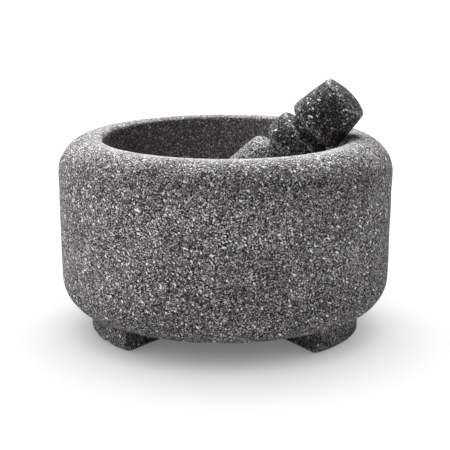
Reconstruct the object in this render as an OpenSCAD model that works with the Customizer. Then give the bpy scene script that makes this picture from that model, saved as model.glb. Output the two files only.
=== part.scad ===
// Molcajete: a round stone mortar on three short feet, with its stone pestle leaning in the bowl.
// Millimetres, +Z up. The origin is on the surface it stands on, under the middle of the mortar.
// The mortar and its feet are one block of stone, and the pestle is a second, loose stone.

/* [Mortar] */
// Outer diameter at the widest place, just under the shoulder
body_d = 203; // [180:1:230]
// Overall height of the mortar
body_h = 119; // [110:1:130]
// How much narrower the wall is, on each side, at its foot than at the shoulder
wall_taper = 1.5; // [0:0.1:4]
// Radius of the round edge at the bottom of the wall
base_round = 21.5; // [15:0.5:28]
// Width of the round shoulder, from the wall in to the top of the rim
shoulder_w = 22.5; // [18:0.5:24]
// Height of the round shoulder
shoulder_h = 20; // [14:0.5:26]

/* [Bowl] */
// Diameter of the bowl's mouth
mouth_d = 148; // [130:1:152]
// Height of the rounded inner edge of the rim
lip_h = 3; // [1:0.5:5]
// Depth of the bowl below the top of the rim
bowl_depth = 80; // [78:1:86]

/* [Feet] */
// Number of feet
foot_count = 3; // [3:1:4]
// Height of the gap under the body
foot_h = 13; // [8:1:20]
// Turn of the whole set of feet about the upright axis
foot_turn = -2; // [-60:1:60]
// Width of a foot at its outer edge
foot_w = 46.6; // [34:0.2:52]
// Angle at which each side of a foot runs in towards its nose
foot_taper = 26.6; // [15:0.1:30]
// Radius of the foot's inner nose
foot_nose_r = 7; // [5:0.5:9]
// Radius of the outer wall of the feet
foot_wall_r = 83.2; // [80:0.2:86]
// Radius of the round edge at the bottom of a foot's outer wall
foot_edge = 4.7; // [2:0.1:6]

/* [Pestle] */
// Length of the pestle from the edge of the knob's end face to the tip of the grinding end
pestle_len = 129.6; // [124:0.2:129.6]
// Radius of the knob at its free end
knob_end_r = 15.7; // [14:0.1:16]
// Radius of the knob at its wide end
knob_r = 18.5; // [17:0.1:18.6]
// Length of the knob
knob_len = 30.5; // [28:0.5:31]
// Height of the dome on the knob's end face
knob_dome = 2.5; // [1:0.5:4]
// Radius of the middle ring at its upper edge
ring_top_r = 19.6; // [18:0.1:19.7]
// Radius of the middle ring at its lower edge
ring_r = 20.1; // [18.5:0.1:20.2]
// Length of the middle ring
ring_len = 17.9; // [14:0.1:18]
// Radius of the grinding head at its shoulder
head_top_r = 21.9; // [20:0.1:22]
// Radius of the grinding head where its rounded end begins
head_r = 24.5; // [22:0.1:25]
// Length of the rounded grinding end
head_round = 20; // [16:0.5:24]
// Radius of the stone at the bottom of the two grooves
groove_r = 12.9; // [11:0.1:13]
// Width of the upper groove, between the knob and the ring
groove_upper = 2.9; // [2.9:0.1:4]
// Width of the lower groove, between the ring and the head
groove_lower = 3.5; // [3:0.1:4]

/* [Resting place] */
// Lean of the pestle, up from level
lean = 45.6; // [45:0.1:46]
// Turn of the pestle about the upright axis, from +X towards +Y
turn = -10; // [-11:0.5:-9]
// Middle of the knob's end face, sideways from the mortar's axis
knob_x = 73.6; // [73:0.1:74]
// Middle of the knob's end face, back from the mortar's axis
knob_y = 2.9; // [2:0.1:4]
// Middle of the knob's end face, above the surface
knob_z = 142.75; // [142.5:0.05:144]

/* [Hidden] */
$fn = 128;

stone_grey = [0.44, 0.44, 0.42];
pestle_grey = [0.36, 0.36, 0.35];

// Points on each round stretch of an outline
arc_steps = 10;

// Mortar, from its driving sizes
body_r = body_d / 2;
wall_foot_r = body_r - wall_taper;
rim_top_r = body_r - shoulder_w;
mouth_r = mouth_d / 2;
// The bowl is half a sphere as wide as the mouth, below a short upright band
bowl_floor_z = body_h - bowl_depth;
bowl_centre_z = bowl_floor_z + mouth_r;

// How far the feet run up into the body, so that stone meets stone with no seam
foot_sunk = 3;
// How far the outline of a foot runs past its outer wall before the wall trims it
foot_past = 8;
// How far in from the edge of its sole a foot is foot_w wide
foot_w_inset = 3.5;
// Distance from the mortar's axis to that place
foot_chord = foot_wall_r - foot_edge - foot_w_inset;
// The nose is a circle that both sides of the foot touch
foot_nose_at = foot_chord - (foot_w / 2 - foot_nose_r / cos(foot_taper)) / tan(foot_taper);

// Radii of the pestle's round edges, from the knob's end face downward
knob_end_edge = 2.9;
knob_edge = 5.5;
ring_top_edge = 3.4;
ring_edge = 5.2;
head_edge = 6.5;
// Places along the pestle where each part starts
ring_at = knob_len + groove_upper;
head_at = ring_at + ring_len + groove_lower;

// Points of an upright ellipse's arc, from angle a0 to angle a1
function arc(cx, cy, rx, ry, a0, a1) =
    [for (i = [0 : arc_steps])
        let (a = a0 + (a1 - a0) * i / arc_steps)
        [cx + rx * cos(a), cy + ry * sin(a)]];

// Half of the mortar's section: underside, wall, shoulder, rim, and the bowl down to its floor
function body_outline() = concat(
    [[0, foot_h]],
    arc(wall_foot_r - base_round, foot_h + base_round, base_round, base_round, -90, 0),
    arc(rim_top_r, body_h - shoulder_h, shoulder_w, shoulder_h, 0, 90),
    arc(rim_top_r, body_h - lip_h, rim_top_r - mouth_r, lip_h, 90, 180),
    arc(0, bowl_centre_z, mouth_r, mouth_r, 0, -90));

// Half of the section of a disc that holds all the feet, with its round lower edge
function foot_disc_outline() = concat(
    [[0, 0]],
    arc(foot_wall_r - foot_edge, foot_edge, foot_edge, foot_edge, -90, 0),
    [[foot_wall_r, foot_h + foot_sunk], [0, foot_h + foot_sunk]]);

// One foot seen from above, along +X: a wedge with a round nose towards the middle
function foot_plan() =
    let (
        out = foot_wall_r + foot_past,
        half_w = foot_w / 2 + (out - foot_chord) * tan(foot_taper),
        side = 90 + foot_taper)
    concat(
        [[out, half_w]],
        arc(foot_nose_at, 0, foot_nose_r, foot_nose_r, side, 360 - side),
        [[out, -half_w]]);

// Half of the pestle's section, from the middle of the knob's end face down to the grinding tip
function pestle_outline() =
    let (
        face_r = knob_end_r - knob_end_edge,
        dome_r = (face_r * face_r + knob_dome * knob_dome) / (2 * knob_dome),
        dome_a = asin(face_r / dome_r))
    concat(
        arc(0, dome_r - knob_dome, dome_r, dome_r, -90, dome_a - 90),
        arc(face_r, knob_end_edge, knob_end_edge, knob_end_edge, -90, 0),
        arc(knob_r - knob_edge, knob_len - knob_edge, knob_edge, knob_edge, 0, 90),
        [[groove_r, knob_len + groove_upper / 2]],
        arc(ring_top_r - ring_top_edge, ring_at + ring_top_edge, ring_top_edge, ring_top_edge, -90, 0),
        arc(ring_r - ring_edge, ring_at + ring_len - ring_edge, ring_edge, ring_edge, 0, 90),
        [[groove_r, ring_at + ring_len + groove_lower / 2]],
        arc(head_top_r - head_edge, head_at + head_edge, head_edge, head_edge, -90, 0),
        arc(0, pestle_len - head_round, head_r, head_round, 0, 90));

// All the feet: the round disc, cut to one wedge for each foot. The first is the back one.
module feet() {
    intersection() {
        rotate_extrude() polygon(foot_disc_outline());
        union() {
            for (i = [0 : foot_count - 1]) {
                rotate([0, 0, 90 + foot_turn + i * 360 / foot_count])
                    linear_extrude(height = foot_h + foot_sunk)
                        polygon(foot_plan());
            }
        }
    }
}

// The bowl and its feet, carved from one block
module mortar() {
    color(stone_grey) {
        union() {
            rotate_extrude() polygon(body_outline());
            feet();
        }
    }
}

// The loose grinding stone, leaning from the bowl's floor onto the rim
module pestle() {
    color(pestle_grey) {
        translate([knob_x, knob_y, knob_z])
            rotate([0, 90 + lean, turn + 180])
                rotate_extrude() polygon(pestle_outline());
    }
}

mortar();
pestle();
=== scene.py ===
"""The looks of the molcajete: a mortar of speckled grey stone and its pestle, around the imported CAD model."""

import math

import bpy
import numpy as np
from mathutils.kdtree import KDTree
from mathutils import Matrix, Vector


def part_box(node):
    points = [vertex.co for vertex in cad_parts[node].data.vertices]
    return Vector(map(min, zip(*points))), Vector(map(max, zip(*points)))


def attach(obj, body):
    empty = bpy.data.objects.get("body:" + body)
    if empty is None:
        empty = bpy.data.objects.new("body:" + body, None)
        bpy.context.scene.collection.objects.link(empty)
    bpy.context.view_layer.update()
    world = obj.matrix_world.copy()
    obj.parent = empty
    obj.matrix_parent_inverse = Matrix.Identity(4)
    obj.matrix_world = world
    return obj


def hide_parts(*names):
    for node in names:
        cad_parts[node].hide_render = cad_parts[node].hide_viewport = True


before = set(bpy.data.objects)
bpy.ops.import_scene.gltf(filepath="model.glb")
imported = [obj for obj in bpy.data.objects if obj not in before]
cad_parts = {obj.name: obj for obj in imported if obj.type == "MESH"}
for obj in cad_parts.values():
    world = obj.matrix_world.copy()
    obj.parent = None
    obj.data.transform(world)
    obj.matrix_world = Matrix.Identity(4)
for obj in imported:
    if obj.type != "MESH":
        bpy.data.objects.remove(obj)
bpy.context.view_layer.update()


MM = 0.001

# ---------------------------------------------------------------- camera

LENS = 115.2
SENSOR = 36
CAMERA_AT = (-0.0002, -0.8610, 0.2656)
LOOKS_DOWN = math.radians(13.2436)


def make_camera():
    """A long lens in front of the part and above it, which looks down at it."""
    data = bpy.data.cameras.new("camera")
    data.lens = LENS
    data.sensor_width = SENSOR
    camera = bpy.data.objects.new("camera", data)
    camera.location = CAMERA_AT
    camera.rotation_euler = (math.pi / 2 - LOOKS_DOWN, 0, 0)
    bpy.context.scene.collection.objects.link(camera)
    bpy.context.scene.camera = camera


make_camera()

# ---------------------------------------------------------------- the mortar's sizes, from its CAD node


def node_points(node):
    """The vertices of a CAD node, one row each."""
    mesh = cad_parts[node].data
    points = np.zeros(len(mesh.vertices) * 3)
    mesh.vertices.foreach_get("co", points)
    return points.reshape(-1, 3)


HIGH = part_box("mortar")[1]
BODY_R = HIGH.x
RIM_Z = HIGH.z
MORTAR_POINTS = node_points("mortar")
MORTAR_HEIGHTS = MORTAR_POINTS[:, 2]
MORTAR_RADII = np.hypot(MORTAR_POINTS[:, 0], MORTAR_POINTS[:, 1])
# The highest points of the rim lie on one circle. Two heights this close are the same
SAME_HEIGHT = 0.01 * MM
RIM_TOP_R = MORTAR_RADII[MORTAR_HEIGHTS > RIM_Z - SAME_HEIGHT].max()
# The bowl's mouth is the narrowest place in this much of the mortar's top
TOP_BAND = 6 * MM
MOUTH_R = MORTAR_RADII[MORTAR_HEIGHTS > RIM_Z - TOP_BAND].min()
# The underside of the body is the level of the lowest point on the axis
UNDERSIDE_Z = MORTAR_HEIGHTS[MORTAR_RADII < MM].min()

# ---------------------------------------------------------------- stone meshes

# How many waves make up the soft random hollows, and their lengths against the hollows' size
WAVE_COUNT = 28
WAVE_LENGTHS = (1.4, 2.8)
# The share of a chip's reach at which it begins to fade out
CHIP_FADE = 0.7


def smoothstep(low, high, x):
    """0 up to low, 1 from high on, and a smooth rise between them."""
    t = np.clip((x - low) / (high - low), 0, 1)
    return t * t * (3 - 2 * t)


class Stone:
    """A piece of stone: an even mesh of small quads over a CAD node, which can be hollowed by wear, pitted and
    chipped.

    Every change takes stone away, so the piece never grows out of its CAD node."""

    def __init__(self, node, name, grid, seed):
        self.random = np.random.default_rng(seed)
        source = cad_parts[node]
        self.piece = bpy.data.objects.new(name, source.data.copy())
        bpy.context.scene.collection.objects.link(self.piece)
        self.piece.data.materials.clear()
        remesh = self.piece.modifiers.new("even", "REMESH")
        remesh.mode = "VOXEL"
        remesh.voxel_size = grid
        bpy.context.view_layer.update()
        depsgraph = bpy.context.evaluated_depsgraph_get()
        self.mesh = bpy.data.meshes.new_from_object(self.piece.evaluated_get(depsgraph))
        self.piece.modifiers.clear()
        self.piece.data = self.mesh
        self.mesh.name = name
        self.mesh.shade_smooth()
        count = len(self.mesh.vertices)
        self.points = np.zeros(count * 3)
        self.mesh.vertices.foreach_get("co", self.points)
        self.points = self.points.reshape(-1, 3)
        edges = np.zeros(len(self.mesh.edges) * 2, np.int32)
        self.mesh.edges.foreach_get("vertices", edges)
        edges = edges.reshape(-1, 2)
        self.ends = np.concatenate([edges[:, 0], edges[:, 1]])
        self.others = np.concatenate([edges[:, 1], edges[:, 0]])
        self.valence = np.bincount(self.ends, minlength=count)

    def write(self):
        """Puts the points back into the mesh."""
        self.mesh.vertices.foreach_set("co", self.points.ravel())
        self.mesh.update()

    def normals(self):
        """Each vertex's outward direction."""
        self.write()
        found = np.zeros(len(self.points) * 3)
        self.mesh.vertex_normals.foreach_get("vector", found)
        return found.reshape(-1, 3)

    def averaged(self, values, rounds):
        """These values of the vertices, each moved half way to the mean of its neighbours in every round."""
        out = values.copy()
        for _ in range(rounds):
            for k in range(out.shape[1]):
                total = np.bincount(self.ends, out[self.others, k], len(out))
                out[:, k] += 0.5 * (total / self.valence - out[:, k])
        return out

    def soften(self, rounds):
        """Rounds off the sharp edges a little."""
        self.points = self.averaged(self.points, rounds)

    def edge_height(self, rounds):
        """How far each vertex stands out over the averaged surface. It is below 0 in a groove."""
        evened = self.averaged(self.points, rounds)
        return ((self.points - evened) * self.normals()).sum(1)

    def waves(self, size):
        """A smooth random value at each vertex, about -1 to 1, with bumps of about this size."""
        value = np.zeros(len(self.points))
        for _ in range(WAVE_COUNT):
            direction = self.random.normal(size=3)
            direction /= np.linalg.norm(direction)
            length = size * self.random.uniform(*WAVE_LENGTHS)
            phase = self.random.uniform(0, 2 * math.pi)
            value += np.cos(self.points @ direction * (2 * math.pi / length) + phase)
        return value * math.sqrt(2 / WAVE_COUNT)

    def wear(self, size, depth, where=1.0):
        """Takes up to this depth away in soft hollows of this size."""
        hollow = 0.5 + 0.5 * np.tanh(self.waves(size))
        self.points -= self.normals() * (depth * hollow * where)[:, None]

    def pit(self, count, radius, depth, allowed):
        """Small round pits at random allowed vertices. Radius and depth are (least, most)."""
        tree = KDTree(len(self.points))
        for i, p in enumerate(self.points):
            tree.insert(p, i)
        tree.balance()
        normals = self.normals()
        sites = self.random.choice(np.flatnonzero(allowed), count)
        for site in sites:
            reach = self.random.uniform(*radius)
            deep = self.random.uniform(*depth)
            for _, i, away in tree.find_range(self.points[site], reach):
                self.points[i] -= normals[i] * deep * (1 - (away / reach) ** 2) ** 2

    def chip(self, site, depth, reach):
        """Cuts a flat facet off the edge at this vertex, this deep and no wider than reach."""
        outward = self.normals()[site]
        flat = self.points[site] - outward * depth
        above = (self.points - flat) @ outward
        near = np.linalg.norm(self.points - self.points[site], axis=1)
        share = 1 - smoothstep(CHIP_FADE * reach, reach, near)
        self.points -= outward * (np.clip(above, 0, None) * share)[:, None]

    def nearest(self, place):
        """The vertex nearest a place."""
        return int(np.linalg.norm(self.points - np.array(place), axis=1).argmin())

    def paint(self, name, values):
        """Stores a value for each vertex, for the material to read."""
        attribute = self.mesh.attributes.new(name, "FLOAT", "POINT")
        attribute.data.foreach_set("value", np.asarray(values, np.float32))


# Rounds of averaging that soften the CAD's sharp edges
SOFT_ROUNDS = 3

# ---------------------------------------------------------------- the mortar

# Rounds of averaging that show which of its vertices stand on an edge
MORTAR_EDGE_ROUNDS = 31
# The bowl is the part above this height and no further from the axis than this
BOWL_LOWEST_Z = UNDERSIDE_Z + 15 * MM
BOWL_R = MOUTH_R + 0.5 * MM
# The outer edge of a foot's sole, as a share of the body's radius
SOLE_SHARE = 80 / 101.5
# The large chip, at the front of the left foot: turn from +X, distance from the axis, and height
FRONT_CHIP_TURN = math.radians(-150)
FRONT_CHIP_R = SOLE_SHARE * BODY_R
FRONT_CHIP_Z = 1.5 * MM
# The other chips on the feet: how many, and the least and most depth and reach in millimetres
CHIP_COUNT = 14
CHIP_DEPTHS = (0.3, 0.8)
CHIP_REACHES = (3, 6)
# The least that a foot's edge stands out, and how far below the underside it has to be
FOOT_EDGE = 0.35 * MM
FOOT_DROP = 1 * MM
# Wear sets in over the first heights, and over the second ones, below the rim, this share of it fades away
WEAR_STARTS = (0.8 * MM, 4 * MM)
WEAR_FADES = (RIM_Z - 8 * MM, RIM_Z - 3 * MM)
RIM_SPARED = 0.8
# The share of the small hollows' depth that the bowl gets
BOWL_WEAR = 0.4
# The pits on the outside lie between these heights
PITS_LOWEST_Z = 2 * MM
PITS_HIGHEST_Z = RIM_Z - 3 * MM
# The pale rim, partly rubbing and partly painted highlight: where it ends on the shoulder, on the lip and below
# the rim
RIM_WEAR_AND_HIGHLIGHT_SHOULDER_R = RIM_TOP_R + 11 * MM
RIM_WEAR_AND_HIGHLIGHT_LIP = (MOUTH_R + 0.8 * MM, MOUTH_R + 1.6 * MM)
RIM_WEAR_AND_HIGHLIGHT_HEIGHTS = (RIM_Z - 6 * MM, RIM_Z - 4 * MM)
# How pale the rim is made at the back, by rubbing and painted highlight, how much more at the front, which is
# painted highlight only, and where along -y / radius it changes
RIM_WEAR_AND_HIGHLIGHT_BACK = 0.42
RIM_PAINTED_HIGHLIGHT_FRONT = 0.55
RIM_PAINTED_HIGHLIGHT_STARTS = (-0.3, 0.8)
# How far the feet's edges stand out where their rubbing starts and is full, and how much they are rubbed
FOOT_RUB_STARTS = (0.15 * MM, 0.8 * MM)
FOOT_RUBBED = 0.35


def chip_feet(stone):
    """Chips: a large one at the front of the left foot, and small ones anywhere along the feet's edges."""
    z = stone.points[:, 2]
    edge = stone.edge_height(MORTAR_EDGE_ROUNDS)
    place = (
        FRONT_CHIP_R * math.cos(FRONT_CHIP_TURN),
        FRONT_CHIP_R * math.sin(FRONT_CHIP_TURN),
        FRONT_CHIP_Z,
    )
    stone.chip(stone.nearest(place), depth=1.3 * MM, reach=5 * MM)
    foot_edges = np.flatnonzero((z < UNDERSIDE_Z - FOOT_DROP) & (edge > FOOT_EDGE))
    for site in stone.random.choice(foot_edges, CHIP_COUNT):
        depth = stone.random.uniform(*CHIP_DEPTHS) * MM
        reach = stone.random.uniform(*CHIP_REACHES) * MM
        stone.chip(site, depth, reach)


def paint_mortar(stone):
    """Marks the pale rim, partly rubbing and partly a painted highlight that is stronger at the front, the
    feet's edges, pale from rubbing, and the ground bowl.
    """
    x, y, z = stone.points.T
    radius = np.hypot(x, y)
    lip = smoothstep(*RIM_WEAR_AND_HIGHLIGHT_LIP, radius)
    # Painted highlight: the rim is made paler towards the front
    front = smoothstep(*RIM_PAINTED_HIGHLIGHT_STARTS, -y / np.maximum(radius, MM))
    rim = 1 - smoothstep(RIM_TOP_R, RIM_WEAR_AND_HIGHLIGHT_SHOULDER_R, radius)
    rim *= lip * smoothstep(*RIM_WEAR_AND_HIGHLIGHT_HEIGHTS, z) * (RIM_WEAR_AND_HIGHLIGHT_BACK + RIM_PAINTED_HIGHLIGHT_FRONT * front)
    edge = stone.edge_height(MORTAR_EDGE_ROUNDS)
    feet = smoothstep(*FOOT_RUB_STARTS, edge) * (z < UNDERSIDE_Z)
    # Rim: rubbing plus painted highlight. Feet: rubbing only
    stone.paint("wear_and_painted_light", np.maximum(rim, FOOT_RUBBED * feet))
    stone.paint("ground", (1 - lip) * (z > BOWL_LOWEST_Z))


def carve_mortar():
    """The mortar: rounded edges, slightly uneven walls, small pits and chipped feet."""
    stone = Stone("mortar", "mortar_stone", grid=1.0 * MM, seed=11)
    stone.soften(SOFT_ROUNDS)
    # x, y and z are views of the points, so they follow each chip, hollow and pit
    x, y, z = stone.points.T
    off_the_floor = smoothstep(*WEAR_STARTS, z)
    in_bowl = (np.hypot(x, y) < BOWL_R) & (z > BOWL_LOWEST_Z)
    chip_feet(stone)
    wall = off_the_floor * (1 - RIM_SPARED * smoothstep(*WEAR_FADES, z))
    stone.wear(size=32 * MM, depth=0.45 * MM, where=wall)
    stone.wear(size=9 * MM, depth=0.22 * MM, where=wall * np.where(in_bowl, BOWL_WEAR, 1.0))
    outside = (z > PITS_LOWEST_Z) & ~in_bowl & (z < PITS_HIGHEST_Z)
    stone.pit(count=900, radius=(1.5 * MM, 2.6 * MM), depth=(0.25 * MM, 0.6 * MM), allowed=outside)
    stone.pit(count=160, radius=(1.5 * MM, 2.2 * MM), depth=(0.15 * MM, 0.3 * MM), allowed=in_bowl)
    paint_mortar(stone)
    stone.write()
    return stone


# ---------------------------------------------------------------- the pestle

# Rounds of averaging that show which of its vertices stand on an edge
PESTLE_EDGE_ROUNDS = 50
# Pits keep out of the grooves, where the surface lies further in than this
GROOVE = -0.2 * MM
# How far an edge stands out where its rubbing starts and is full
EDGE_RUB_STARTS = (0.1 * MM, 0.8 * MM)
# The grinding head is made pale this much, partly by rubbing and partly as painted light, from this share of
# the length on
HEAD_WEAR_AND_PAINTED_LIGHT = 0.8
HEAD_STARTS = (0.405, 0.425)
# Every so many vertices are enough to find the pestle's axis
AXIS_STEP = 50


def share_of_length(stone):
    """How far down the pestle each vertex lies: 0 at the top of the knob and 1 at the grinding tip."""
    middle = stone.points.mean(0)
    axis = np.linalg.svd(stone.points[::AXIS_STEP] - middle, full_matrices=False)[2][0]
    axis *= -np.sign(axis[2])
    along = (stone.points - middle) @ axis
    return (along - along.min()) / (along.max() - along.min())


def carve_pestle():
    """The pestle: softened edges, pale from rubbing, small pits, and a grinding head that is pale all over,
    partly from rubbing and partly as painted light.
    """
    stone = Stone("pestle", "pestle_stone", grid=0.7 * MM, seed=23)
    stone.soften(SOFT_ROUNDS)
    edge = stone.edge_height(PESTLE_EDGE_ROUNDS)
    stone.wear(size=14 * MM, depth=0.3 * MM)
    stone.wear(size=5 * MM, depth=0.15 * MM)
    stone.pit(count=170, radius=(0.9 * MM, 1.7 * MM), depth=(0.15 * MM, 0.4 * MM), allowed=edge > GROOVE)
    edges = smoothstep(*EDGE_RUB_STARTS, edge)
    head = smoothstep(*HEAD_STARTS, share_of_length(stone))
    # Edges: rubbing. Head: rubbing plus painted light
    stone.paint("wear_and_painted_light", np.maximum(edges * (1 - head), HEAD_WEAR_AND_PAINTED_LIGHT * head))
    stone.paint("ground", np.zeros(len(stone.points)))
    stone.write()
    return stone


mortar = carve_mortar()
pestle = carve_pestle()

# ---------------------------------------------------------------- materials

# Places of the sockets of a colour mix, which share their names with those of its other kinds
MIX_FACTOR = 0
MIX_A = 6
MIX_B = 7
MIX_RESULT = 2
# Soft noise stays between these values almost everywhere
NOISE_RANGE = (0.3, 0.7)
NOISE_ROUGHNESS = 0.6


class Nodes:
    """A short way to write a material's nodes. An input gets a number, a colour or another node's output."""

    def __init__(self, name):
        self.material = bpy.data.materials.new(name)
        self.material.use_nodes = True
        self.tree = self.material.node_tree
        self.tree.nodes.clear()

    def add(self, kind, inputs=None, **settings):
        """A new node with these inputs and settings."""
        made = self.tree.nodes.new("ShaderNode" + kind)
        for name, value in settings.items():
            setattr(made, name, value)
        for key, value in (inputs or {}).items():
            self.set(made.inputs[key], value)
        return made

    def set(self, target, value):
        """Gives an input a number or a colour, or links another node's output to it."""
        if isinstance(value, bpy.types.NodeSocket):
            self.tree.links.new(value, target)
        elif isinstance(value, (tuple, list)) and target.type == "RGBA":
            target.default_value = (*value[:3], 1)
        else:
            target.default_value = value

    def surface(self, inputs):
        """Ends the material with a Principled BSDF that has these inputs."""
        shader = self.add("BsdfPrincipled", inputs)
        self.add("OutputMaterial", {"Surface": shader.outputs[0]})

    def math(self, operation, a, b):
        return self.add("Math", {0: a, 1: b}, operation=operation).outputs[0]

    def times(self, a, b):
        return self.math("MULTIPLY", a, b)

    def mix(self, factor, a, b):
        """Colour a where the factor is 0, and b where it is 1."""
        made = self.add("Mix", {MIX_FACTOR: factor, MIX_A: a, MIX_B: b}, data_type="RGBA")
        return made.outputs[MIX_RESULT]

    def tint(self, colour, by):
        """A colour times another colour or a number."""
        made = self.add(
            "Mix",
            {MIX_FACTOR: 1.0, MIX_A: colour, MIX_B: by},
            data_type="RGBA",
            blend_type="MULTIPLY",
        )
        return made.outputs[MIX_RESULT]

    def ramp(self, value, stops):
        """Greys along a value: stops are (place, grey)."""
        made = self.add("ValToRGB", {0: value})
        elements = made.color_ramp.elements
        while len(elements) < len(stops):
            elements.new(0.5)
        for element, (place, grey) in zip(elements, stops):
            element.position = place
            element.color = (grey, grey, grey, 1)
        return made.outputs[0]

    def spread(self, value, low, high, to_low=0.0, to_high=1.0):
        """A value from low to high, spread smoothly over to_low to to_high."""
        inputs = {0: value, 1: low, 2: high, 3: to_low, 4: to_high}
        return self.add("MapRange", inputs, interpolation_type="SMOOTHSTEP").outputs[0]

    def noise(self, at, size, detail):
        """Soft noise with bumps of this size in millimetres."""
        inputs = {"Vector": at, "Scale": 1 / size, "Detail": detail, "Roughness": NOISE_ROUGHNESS}
        return self.add("TexNoise", inputs).outputs[0]

    def clouds(self, at, size, detail, least, most):
        """Soft noise, spread from least to most."""
        return self.spread(self.noise(at, size, detail), *NOISE_RANGE, least, most)

    def cells(self, at, size):
        """Random cells of this size in millimetres: (distance to the middle, random value of the cell)."""
        made = self.add("TexVoronoi", {"Vector": at, "Scale": 1 / size})
        parts = self.add("SeparateColor", {0: made.outputs["Color"]})
        return made.outputs["Distance"], parts.outputs[0]

    def spots(self, at, size, edge, core, share):
        """A mask of spots in cells of this size. share is the part of the cells that hold one.

        A spot reaches edge out from the middle of its cell, and is full within core."""
        away, which = self.cells(at, size)
        chosen = self.math("GREATER_THAN", which, 1 - share)
        return self.times(self.spread(away, edge, core), chosen)

    def attribute(self, name):
        """A value that is stored on the mesh."""
        return self.add("Attribute", attribute_name=name).outputs["Fac"]


# ---------------------------------------------------------------- granite
# Sizes are in millimetres unless they say otherwise, and shares go from 0 to 1.

# Noise that bends the outlines of the grains: bumps in a millimetre, detail, and how far it pushes
WARP_SCALE = 1.1
WARP_DETAIL = 1.0
WARP_PUSH = 0.5
# Small grains show through the others: their size against the others', and how much they show
SMALL_GRAIN = 0.6
SMALL_GRAIN_SHOWS = 0.12
# The brightness changes slowly over the stone, as two layers of clouds
BROAD_CLOUDS = {"size": 26, "detail": 3.0, "least": 0.86, "most": 1.14}
PATCHY_CLOUDS = {"size": 5, "detail": 2.0, "least": 0.92, "most": 1.08}
# Below this height the stone is painted darker towards the floor, as painted shade
PAINTED_SHADE_HEIGHT = 55.0
# Pale warm patches, and how much they cover
PATCHES = {"size": 9.0, "edge": 0.24, "core": 0.12, "share": 0.38}
PATCH_COVERS = 0.45
# Pits, coloured nearly black as painted shade inside them. Their share of the cells is in the look
PITS = {"size": 2.6, "edge": 0.34, "core": 0.2}
PIT_SHADE_COVERS = 0.75
PIT_PAINTED_SHADE = (0.02, 0.019, 0.018)
# Long pale crystals: how each set is turned, their length and width, and the part of the look's share it gets
CRYSTALS = (
    ((0.3, 0.5, 0.9), 3.4, 1.3, 1.0),
    ((1.2, -0.6, 2.1), 2.6, 1.1, 1.0),
    ((-0.8, 1.1, -0.5), 2.6, 1.1, 1.0),
    ((0.2, 0.3, -0.4), 4.6, 1.6, 0.5),
)
# How far out from its middle a crystal reaches and is full, as shares of its length and width
CRYSTAL_EDGE = 0.5
CRYSTAL_CORE = 0.44
CRYSTAL_COVERS = 0.9
CRYSTAL_COVERS_BOWL = 0.35
# Noise that makes the pale areas of wear and painted light uneven: size, detail, range, the most that it adds
# or takes away, and how pale the stone is where all of it shows
WEAR_AND_LIGHT_NOISE_SIZE = 2.2
WEAR_AND_LIGHT_NOISE_DETAIL = 3.0
WEAR_AND_LIGHT_NOISE_RANGE = (0.35, 0.65)
WEAR_AND_LIGHT_NOISE_MOST = 0.2
WEAR_AND_LIGHT_NOISE_FULL = 0.3
# Fine clouds in the pale colour of wear and painted light
WEAR_AND_LIGHT_CLOUDS = {"size": 0.7, "detail": 2.0, "least": 0.85, "most": 1.15}
# How much smoother the ground bowl and the rubbed areas are
GROUND_SMOOTH = 0.75
RUBBED_SMOOTH = 0.6
# Relief: how far the middles of grains, whole pale grains and small grains stand up, and how far pits go down
GRAIN_DOME = 0.5
PALE_GRAIN_STEP = 0.45
SMALL_GRAIN_DOME = 0.35
PIT_DROP = 1.6
# The bump's depth in metres, and its strength where the stone is smooth
BUMP_DEPTH = 0.45 * MM
SMOOTH_BUMP = 0.12
# Roughness of the darkest and the palest grains, and of smooth stone
DARK_ROUGHNESS = 0.95
PALE_ROUGHNESS = 0.62
SMOOTH_ROUGHNESS = (0.4, 0.4, 0.4)


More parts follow.
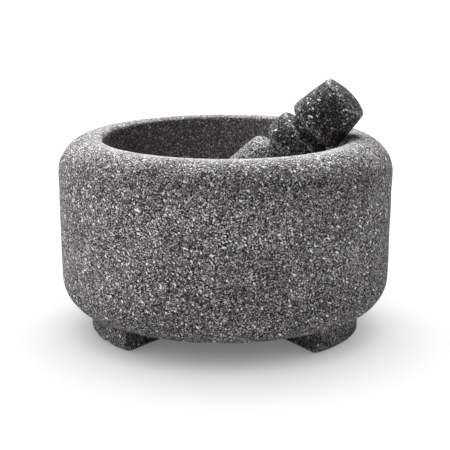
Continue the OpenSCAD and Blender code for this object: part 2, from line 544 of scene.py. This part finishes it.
class Granite(Nodes):
    """Speckled stone: packed grains from near black to white, pale crystals, warm patches, and pits with
    painted shade in them.
    """

    def __init__(self, name, look):
        super().__init__(name)
        self.look = look
        here = self.add("TexCoord").outputs["Object"]
        self.mm = self.add("VectorMath", {0: here, "Scale": 1 / MM}, operation="SCALE").outputs[0]
        self.bent = self.bend()
        self.grain_away, self.grain = self.cells(self.bent, look["grain"])
        self.small_away, self.small = self.cells(self.bent, look["grain"] * SMALL_GRAIN)
        self.pits = self.spots(self.bent, **PITS, share=look["pits"])
        self.crystals = self.crystal_mask()
        self.ground = self.attribute("ground")
        self.paled_by_wear_and_painted_light = self.paled_by_wear_and_painted_light_mask()
        self.smooth = self.math(
            "MAXIMUM",
            self.times(self.ground, GROUND_SMOOTH),
            self.times(self.paled_by_wear_and_painted_light, RUBBED_SMOOTH),
        )

        colour = self.mix(self.ground, self.speckled(), self.ground_bowl())
        # Pale colour of wear, with the painted highlight on the rim and painted light on the pestle's head
        wear_and_painted_light_mix = self.times(self.paled_by_wear_and_painted_light, look["wear_and_painted_light_share"])
        self.surface({
            "Base Color": self.mix(wear_and_painted_light_mix, colour, self.paled_by_wear_and_painted_light_pale()),
            "Roughness": self.roughness(),
            "Normal": self.bump(),
            "Specular IOR Level": look["specular"],
        })

    def bend(self):
        """Places in millimetres, moved about a little so that the grains aren't straight-sided."""
        inputs = {"Vector": self.mm, "Scale": WARP_SCALE, "Detail": WARP_DETAIL}
        warp = self.add("TexNoise", inputs).outputs["Color"]
        middle = (0.5, 0.5, 0.5)
        centred = self.add("VectorMath", {0: warp, 1: middle}, operation="SUBTRACT").outputs[0]
        pushed = self.add("VectorMath", {0: centred, "Scale": WARP_PUSH}, operation="SCALE").outputs[0]
        return self.add("VectorMath", {0: self.mm, 1: pushed}, operation="ADD").outputs[0]

    def crystal_mask(self):
        """A mask of long thin crystals. Those of one set all lie along one direction."""
        mask = 0.0
        for turn, length, width, common in CRYSTALS:
            inputs = {"Vector": self.mm, "Rotation": turn, "Scale": (length, width, width)}
            turned = self.add("Mapping", inputs, vector_type="TEXTURE").outputs[0]
            share = self.look["flecks"] * common
            more = self.spots(turned, 1.0, CRYSTAL_EDGE, CRYSTAL_CORE, share)
            mask = self.math("MAXIMUM", mask, more)
        return mask

    def paled_by_wear_and_painted_light_mask(self):
        """How pale the stone is made by wear and by painted light, with an uneven edge."""
        wear_and_painted_light = self.attribute("wear_and_painted_light")
        noise = self.noise(self.mm, WEAR_AND_LIGHT_NOISE_SIZE, WEAR_AND_LIGHT_NOISE_DETAIL)
        uneven = self.spread(noise, *WEAR_AND_LIGHT_NOISE_RANGE, -WEAR_AND_LIGHT_NOISE_MOST, WEAR_AND_LIGHT_NOISE_MOST)
        uneven = self.times(uneven, self.spread(wear_and_painted_light, 0.0, WEAR_AND_LIGHT_NOISE_FULL))
        return self.add("Clamp", {0: self.math("ADD", wear_and_painted_light, uneven)}).outputs[0]

    def speckled(self):
        """The stone's own colour, where it is neither ground nor made pale by wear and painted light."""
        look = self.look
        tones = look["tones"]
        tone = self.mix(SMALL_GRAIN_SHOWS, self.ramp(self.grain, tones), self.ramp(self.small, tones))
        broad = self.clouds(self.mm, **BROAD_CLOUDS)
        patchy = self.clouds(self.mm, **PATCHY_CLOUDS)
        colour = self.tint(self.tint(tone, self.times(broad, patchy)), look["tint"])
        height = self.add("SeparateXYZ", {0: self.mm}).outputs[2]
        # Painted shade: darker towards the floor
        colour = self.tint(colour, self.spread(height, 0.0, PAINTED_SHADE_HEIGHT, look["low_painted_shade"], 1.0))
        patches = self.spots(self.bent, **PATCHES)
        colour = self.mix(self.times(patches, PATCH_COVERS), colour, look["patch"])
        # Painted shade inside the pits
        colour = self.mix(self.times(self.pits, PIT_SHADE_COVERS), colour, PIT_PAINTED_SHADE)
        return self.mix(self.times(self.crystals, CRYSTAL_COVERS), colour, look["crystal"])

    def ground_bowl(self):
        """The colour of the ground bowl, with less contrast."""
        bowl = self.tint(self.ramp(self.grain, self.look["ground_tones"]), self.look["ground_tint"])
        return self.mix(self.times(self.crystals, CRYSTAL_COVERS_BOWL), bowl, self.look["crystal"])

    def paled_by_wear_and_painted_light_pale(self):
        """The pale colour of wear, which also carries the painted highlight on the mortar's rim and the painted
        light on the pestle's head.
        """
        pale = self.ramp(self.grain, self.look["wear_and_painted_light_tones"])
        pale = self.tint(pale, self.clouds(self.mm, **WEAR_AND_LIGHT_CLOUDS))
        return self.tint(pale, self.look["wear_and_painted_light_tint"])

    def roughness(self):
        """Pale grains are glossier than dark ones, and smooth stone is glossier still."""
        matte = self.spread(self.grain, 0.0, 1.0, DARK_ROUGHNESS, PALE_ROUGHNESS)
        return self.mix(self.smooth, matte, SMOOTH_ROUGHNESS)

    def bump(self):
        """Relief: each grain stands up a little, and the pits go down."""
        grains = self.times(self.math("SUBTRACT", 1.0, self.grain_away), GRAIN_DOME)
        relief = self.math("ADD", grains, self.times(self.grain, PALE_GRAIN_STEP))
        small = self.times(self.math("SUBTRACT", 1.0, self.small_away), SMALL_GRAIN_DOME)
        relief = self.math("ADD", relief, small)
        relief = self.math("SUBTRACT", relief, self.times(self.pits, PIT_DROP))
        strength = self.spread(self.smooth, 0.0, 1.0, self.look["bump"], SMOOTH_BUMP)
        inputs = {"Strength": strength, "Distance": BUMP_DEPTH, "Height": relief}
        return self.add("Bump", inputs).outputs[0]


# What each stone looks like. The tones are stops of (share of the grains, grey), from the darkest grain up,
# for plain stone, for the ground bowl and for stone made pale by wear and painted light, and each kind has its
# tint.
MORTAR_LOOK = {
    "grain": 0.58,
    "tones": [
        (0.0, 0.002),
        (0.29, 0.004),
        (0.38, 0.05),
        (0.58, 0.13),
        (0.78, 0.28),
        (0.89, 0.55),
        (1.0, 0.95),
    ],
    "tint": (1.03, 1.0, 0.955),
    "low_painted_shade": 0.55,
    "patch": (0.21, 0.2, 0.16),
    "pits": 0.16,
    "flecks": 0.014,
    "crystal": (0.93, 0.94, 0.91),
    "ground_tones": [(0.0, 0.02), (0.2, 0.09), (0.8, 0.17), (0.92, 0.35), (1.0, 1.0)],
    "ground_tint": (1.06, 1.0, 0.965),
    "wear_and_painted_light_tones": [(0.0, 0.03), (0.25, 0.15), (0.7, 0.24), (1.0, 0.6)],
    "wear_and_painted_light_tint": (0.985, 1.0, 0.955),
    "wear_and_painted_light_share": 0.9,
    "bump": 1.0,
    "specular": 0.12,
}

# The pestle is darker, and gets no painted shade towards the floor, so it is as dark below as above
PESTLE_LOOK = dict(
    MORTAR_LOOK,
    grain=0.64,
    tones=[(0.0, 0.002), (0.3, 0.007), (0.6, 0.035), (0.82, 0.09), (0.93, 0.25), (1.0, 0.6)],
    wear_and_painted_light_tones=[(0.0, 0.002), (0.3, 0.02), (0.5, 0.12), (0.75, 0.28), (1.0, 0.9)],
    wear_and_painted_light_share=0.85,
    low_painted_shade=1.0,
    flecks=0.012,
)


def finish_piece(stone, body, slot, look):
    """Gives a stone its material, named after its slot, puts it under its body, and hides that body's CAD node.
    """
    stone.piece.data.materials.append(Granite(slot + "_granite", look).material)
    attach(stone.piece, body)
    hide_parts(body)


finish_piece(mortar, "mortar", "mortar_stone", MORTAR_LOOK)
finish_piece(pestle, "pestle", "pestle_stone", PESTLE_LOOK)

# ---------------------------------------------------------------- studio

WHITE = (1, 1, 1)
# Half of the floor's width
FLOOR_HALF = 40.0
# The unseen floor lies this much below the seen one. At the same level, it would stop the light between the
# seen floor and the world, and turn the seen floor grey
BOUNCE_DROP = 0.5 * MM
# Strength of the even light from all round
WORLD_LIGHT = 0.02


def make_floor(name, level, grey, glow, seen, lights_stone):
    """A wide plain floor. It glows faintly, so that the shadow on it doesn't get too dark.

    seen says whether the camera sees it, and lights_stone whether light bounces off it onto the stone."""
    mesh = bpy.data.meshes.new(name)
    near, far = -FLOOR_HALF, FLOOR_HALF
    corners = [(near, near, level), (far, near, level), (far, far, level), (near, far, level)]
    mesh.from_pydata(corners, [], [(0, 1, 2, 3)])
    floor = bpy.data.objects.new(name, mesh)
    bpy.context.scene.collection.objects.link(floor)
    n = Nodes(name + "_white")
    n.surface({
        "Base Color": (grey, grey, grey),
        "Roughness": 1.0,
        "Specular IOR Level": 0.0,
        "Emission Color": WHITE,
        "Emission Strength": glow,
    })
    mesh.materials.append(n.material)
    floor.visible_camera = seen
    floor.visible_diffuse = lights_stone
    floor.visible_glossy = seen
    floor.visible_shadow = False
    return floor


def group(name, *objects):
    """A collection that only says which objects a light falls on."""
    made = bpy.data.collections.new(name)
    for o in objects:
        made.objects.link(o)
    return made


def make_light(name, power, softness, tilt, turn, falls_on):
    """A soft light, tilt degrees off straight above. turn is 0 for behind, 90 for left, 180 for the front."""
    data = bpy.data.lights.new(name, "SUN")
    data.energy = power
    data.angle = math.radians(softness)
    light = bpy.data.objects.new(name, data)
    light.rotation_euler = (-math.radians(tilt), 0, math.radians(turn))
    light.light_linking.receiver_collection = falls_on
    bpy.context.scene.collection.objects.link(light)


def make_world():
    """A faint white light from all round."""
    world = bpy.data.worlds.new("studio")
    world.use_nodes = True
    background = world.node_tree.nodes["Background"]
    background.inputs["Color"].default_value = (*WHITE, 1)
    background.inputs["Strength"].default_value = WORLD_LIGHT
    bpy.context.scene.world = world


STONES = group("lit_stones", mortar.piece, pestle.piece)
FLOOR = group(
    "lit_floor",
    make_floor("floor", level=0.0, grey=0.75, glow=0.125, seen=True, lights_stone=False),
    make_floor("floor_bounce", level=-BOUNCE_DROP, grey=0.9, glow=0.06, seen=False, lights_stone=True),
)
make_light("key_behind", power=8.5, softness=32, tilt=40, turn=0, falls_on=STONES)
make_light("side_left", power=2.4, softness=60, tilt=62, turn=75, falls_on=STONES)
make_light("fill_front", power=0.7, softness=90, tilt=58, turn=150, falls_on=STONES)
make_light("dome_floor", power=3.75, softness=170, tilt=0, turn=0, falls_on=FLOOR)
make_light("back_floor", power=1.1, softness=80, tilt=45, turn=8, falls_on=FLOOR)
make_world()
bpy.context.scene.view_settings.view_transform = "Standard"
